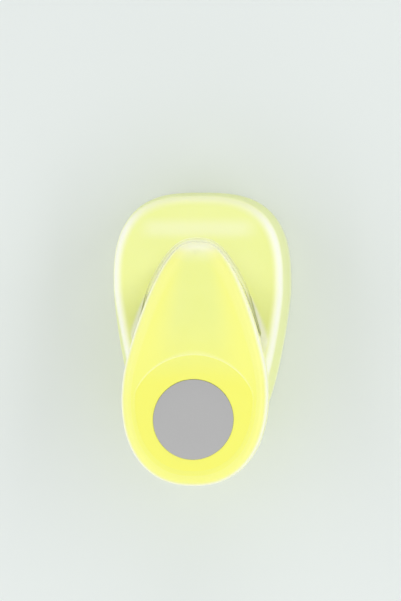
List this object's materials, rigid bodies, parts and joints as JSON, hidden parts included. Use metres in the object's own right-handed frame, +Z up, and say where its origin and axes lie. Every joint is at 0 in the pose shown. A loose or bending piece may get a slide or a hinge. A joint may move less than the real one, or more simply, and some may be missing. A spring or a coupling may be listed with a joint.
{
  "type": "circle punch",
  "caption": "Hand-held paper punch that cuts a circle: rounded lemon plastic case, egg-shaped thumb lever with a grey disc, steel cutter and die.",
  "frame": {"origin": "on the table, under the middle of the object's bounding box", "axes": "+Z up; +Y toward the wide end, where the paper goes in; the thumb end of the lever is at -Y; +X is to the right when seen from above with the wide end up"},
  "size_m": [0.0792, 0.1266, 0.0575],
  "materials": {
    "case_plastic": "satin moulded plastic, pale lemon",
    "lever_plastic": "satin moulded plastic, lemon",
    "disc_plastic": "flat even grey",
    "tool_steel": "ground steel",
    "dark_steel": "blackened pressed steel",
    "pin_steel": "turned steel",
    "spring_steel": "drawn spring wire and spring strip",
    "zinc_screw": "zinc plated"
  },
  "bodies": {
    "chassis": {"base_tray": "case_plastic", "housing_cover": "case_plastic", "die_plate": "tool_steel", "guide_plate": "tool_steel", "throat_spacer": "dark_steel", "die_rivet_1": "pin_steel", "die_rivet_2": "pin_steel", "die_rivet_3": "pin_steel", "die_rivet_4": "pin_steel", "hinge_bracket_left": "dark_steel", "hinge_bracket_right": "dark_steel", "bracket_screw_left_1": "zinc_screw", "bracket_screw_left_2": "zinc_screw", "bracket_screw_right_1": "zinc_screw", "bracket_screw_right_2": "zinc_screw", "pivot_pin": "pin_steel", "pin_clip_left": "spring_steel", "pin_clip_right": "spring_steel", "guide_post_left": "pin_steel", "guide_post_right": "pin_steel", "post_clip_left": "spring_steel", "post_clip_right": "spring_steel", "return_spring_left": "spring_steel", "return_spring_right": "spring_steel", "housing_screw_1": "zinc_screw", "housing_screw_2": "zinc_screw", "housing_screw_3": "zinc_screw", "housing_screw_4": "zinc_screw", "die_screw_1": "zinc_screw", "die_screw_2": "zinc_screw", "die_screw_3": "zinc_screw", "die_screw_4": "zinc_screw"},
    "thumb_lever": {"lever": "lever_plastic", "motif_disc": "disc_plastic"},
    "punch": {"punch_cutter": "tool_steel", "punch_yoke": "dark_steel", "yoke_screw_1": "zinc_screw", "yoke_screw_2": "zinc_screw", "yoke_screw_3": "zinc_screw", "yoke_screw_4": "zinc_screw"}
  },
  "joints": [
    {"name": "lever_pivot", "type": "hinge", "parent": "chassis", "child": "thumb_lever", "pos_m": [0, 0.05, 0.027], "axis": [1, 0, 0], "range_deg": [0, 10.4], "stiffness_Nm_per_rad": 1.17, "springref_deg": -11.84},
    {"name": "punch_slide", "type": "slide", "parent": "chassis", "child": "punch", "axis": [0, 0, -1], "range_m": [0, 0.0044], "deforming": ["return_spring_left", "return_spring_right"]}
  ],
  "couplings": [
    {"joint": "punch_slide", "follows": "lever_pivot", "m_per_rad": 0.0242}
  ]
}
